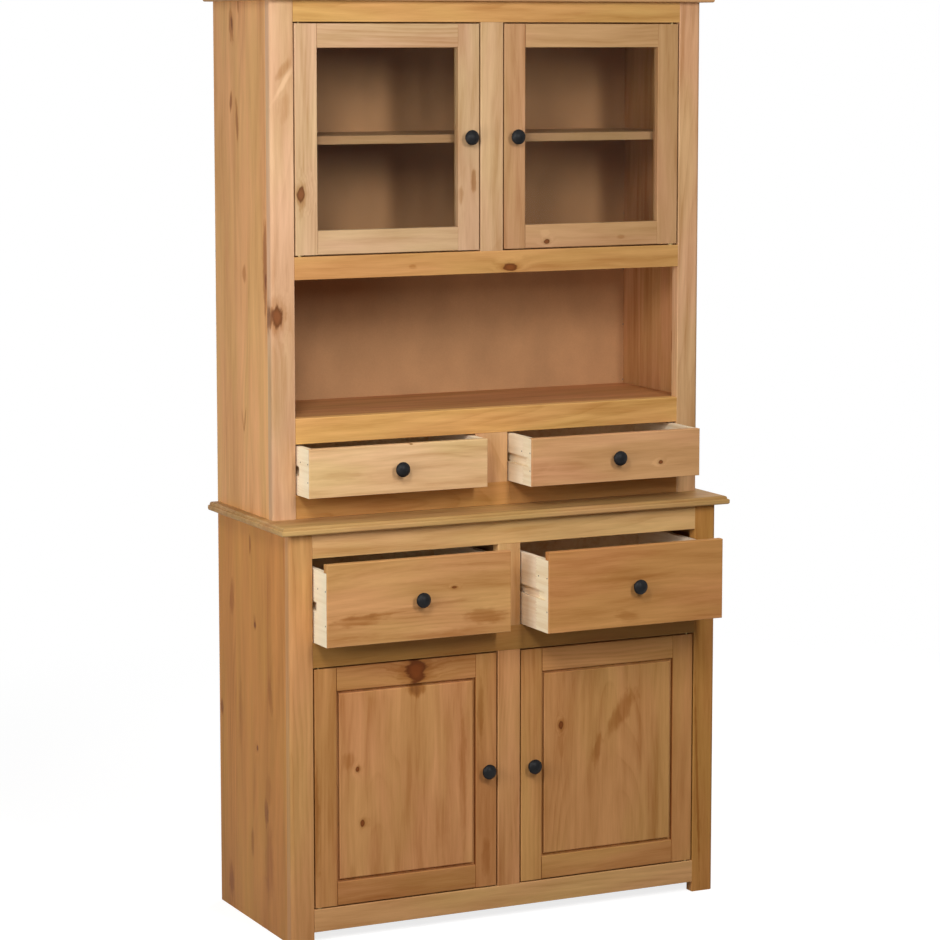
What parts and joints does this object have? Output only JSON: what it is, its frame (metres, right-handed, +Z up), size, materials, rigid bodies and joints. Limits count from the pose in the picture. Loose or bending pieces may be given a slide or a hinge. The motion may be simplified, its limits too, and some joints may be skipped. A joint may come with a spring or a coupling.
{
  "type": "tall cabinet",
  "caption": "Tall two-part pine cabinet: a base with drawers over panel doors, and a hutch with drawers, an open niche and glazed doors.",
  "frame": {"origin": "on the floor, at the centre of the whole cabinet's box with its drawers open as they rest", "axes": "+X to the right as seen from the front, +Y from the front to the back, +Z up"},
  "size_m": [1, 0.52, 1.865],
  "materials": {
    "pine_posts": "waxed, satin, straight grain, pale peach",
    "pine_sides": "waxed, satin, glued staves",
    "pine_rails": "waxed, satin, grain along the rail, orange honey",
    "pine_boards": "waxed, satin, moulded edge",
    "pine_inside": "waxed, matt",
    "pine_door_frames": "waxed, satin, greyish tan",
    "pine_door_panels": "waxed, satin, vertical grain with knots",
    "pine_drawer_fronts": "waxed, satin, flowing horizontal grain",
    "raw_pine": "bare, sanded, cream",
    "hardboard": "smooth brown fibreboard",
    "clear_glass": "clear float glass",
    "black_knob": "matt black paint on a turned knob",
    "steel": "plain bright steel",
    "brass": "plain turned brass"
  },
  "bodies": {
    "carcass": {"base_back_panel": "hardboard", "base_bottom_rail": "pine_rails", "base_door_mullion": "pine_rails", "base_drawer_divider": "pine_rails", "base_floor": "pine_inside", "base_left_post": "pine_posts", "base_left_side": "pine_sides", "base_middle_rail": "pine_rails", "base_partition": "pine_inside", "base_right_post": "pine_posts", "base_right_side": "pine_sides", "base_top_board": "pine_boards", "base_top_rail": "pine_rails", "drawer_runners": "raw_pine", "hinge_pins": "steel", "hutch_back_panel": "hardboard", "hutch_bottom_rail": "pine_rails", "hutch_cornice": "pine_boards", "hutch_cupboard_floor": "pine_inside", "hutch_door_mullion": "pine_rails", "hutch_drawer_divider": "pine_rails", "hutch_left_post": "pine_posts", "hutch_left_side": "pine_sides", "hutch_middle_rail": "pine_rails", "hutch_niche_floor": "pine_inside", "hutch_niche_rail": "pine_rails", "hutch_partition": "pine_inside", "hutch_right_post": "pine_posts", "hutch_right_side": "pine_sides", "hutch_shelf": "pine_inside", "hutch_top_rail": "pine_rails", "shelf_pins": "steel"},
    "base_left_drawer": {"base_left_drawer_front": "pine_drawer_fronts", "base_left_drawer_box": "raw_pine", "base_left_drawer_knob": "black_knob"},
    "base_right_drawer": {"base_right_drawer_front": "pine_drawer_fronts", "base_right_drawer_box": "raw_pine", "base_right_drawer_knob": "black_knob"},
    "hutch_left_drawer": {"hutch_left_drawer_front": "pine_drawer_fronts", "hutch_left_drawer_box": "raw_pine", "hutch_left_drawer_knob": "black_knob"},
    "hutch_right_drawer": {"hutch_right_drawer_front": "pine_drawer_fronts", "hutch_right_drawer_box": "raw_pine", "hutch_right_drawer_knob": "black_knob"},
    "left_panel_door": {"left_panel_door_frame": "pine_door_frames", "left_panel_door_panel": "pine_door_panels", "left_panel_door_hinge_sockets": "brass", "left_panel_door_knob": "black_knob"},
    "left_glass_door": {"left_glass_door_frame": "pine_door_frames", "left_glass_door_glass": "clear_glass", "left_glass_door_hinge_sockets": "brass", "left_glass_door_knob": "black_knob"},
    "right_panel_door": {"right_panel_door_frame": "pine_door_frames", "right_panel_door_panel": "pine_door_panels", "right_panel_door_hinge_sockets": "brass", "right_panel_door_knob": "black_knob"},
    "right_glass_door": {"right_glass_door_frame": "pine_door_frames", "right_glass_door_glass": "clear_glass", "right_glass_door_hinge_sockets": "brass", "right_glass_door_knob": "black_knob"}
  },
  "joints": [
    {"name": "base_left_drawer_slide", "type": "slide", "parent": "carcass", "child": "base_left_drawer", "axis": [0, -1, 0], "range_m": [-0.064, 0.166]},
    {"name": "base_right_drawer_slide", "type": "slide", "parent": "carcass", "child": "base_right_drawer", "axis": [0, -1, 0], "range_m": [-0.119, 0.111]},
    {"name": "hutch_left_drawer_slide", "type": "slide", "parent": "carcass", "child": "hutch_left_drawer", "axis": [0, -1, 0], "range_m": [-0.061, 0.109]},
    {"name": "hutch_right_drawer_slide", "type": "slide", "parent": "carcass", "child": "hutch_right_drawer", "axis": [0, -1, 0], "range_m": [-0.102, 0.068]},
    {"name": "left_panel_door_hinge", "type": "hinge", "parent": "carcass", "child": "left_panel_door", "pos_m": [-0.415, -0.108, 0.3095], "axis": [0, 0, -1], "range_deg": [0, 95]},
    {"name": "right_panel_door_hinge", "type": "hinge", "parent": "carcass", "child": "right_panel_door", "pos_m": [0.415, -0.108, 0.3095], "axis": [0, 0, 1], "range_deg": [0, 95]},
    {"name": "left_glass_door_hinge", "type": "hinge", "parent": "carcass", "child": "left_glass_door", "pos_m": [-0.415, -0.028, 1.5795], "axis": [0, 0, -1], "range_deg": [0, 95]},
    {"name": "right_glass_door_hinge", "type": "hinge", "parent": "carcass", "child": "right_glass_door", "pos_m": [0.415, -0.028, 1.5795], "axis": [0, 0, 1], "range_deg": [0, 95]}
  ]
}
